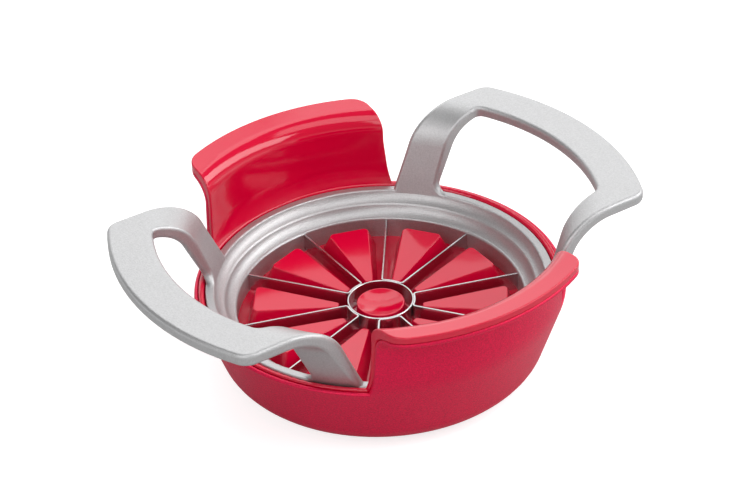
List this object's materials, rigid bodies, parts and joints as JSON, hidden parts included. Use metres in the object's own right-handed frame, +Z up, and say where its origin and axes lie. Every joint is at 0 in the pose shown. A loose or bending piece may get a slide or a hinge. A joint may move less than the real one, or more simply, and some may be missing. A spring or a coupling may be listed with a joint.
{
  "type": "apple divider",
  "caption": "Two-handled frame of radial blades with a round core cutter, pressed down into a walled bowl whose wedge pushers lift the cut fruit out.",
  "frame": {"origin": "middle of the fruit opening, on the surface that the base stands on", "axes": "+Z up through the core ring, +X and -X towards the two handles, +Y and -Y towards the two tall walls"},
  "size_m": [0.1634, 0.1348, 0.0539],
  "materials": {
    "shell_plastic": "satin",
    "tray_plastic": "gloss",
    "cast_aluminium": "satin",
    "blade_steel": "bright"
  },
  "bodies": {
    "base": {"outer_shell": "shell_plastic", "pusher_tray": "tray_plastic"},
    "cutter": {"cutter_frame": "cast_aluminium", "core_ring": "blade_steel", "blade_strip_1": "blade_steel", "blade_strip_2": "blade_steel", "blade_strip_3": "blade_steel", "blade_strip_4": "blade_steel", "blade_strip_5": "blade_steel"}
  },
  "joints": [
    {"name": "cutter_lift", "type": "slide", "parent": "base", "child": "cutter", "axis": [0, 0, 1], "range_m": [0, 0.08]}
  ]
}
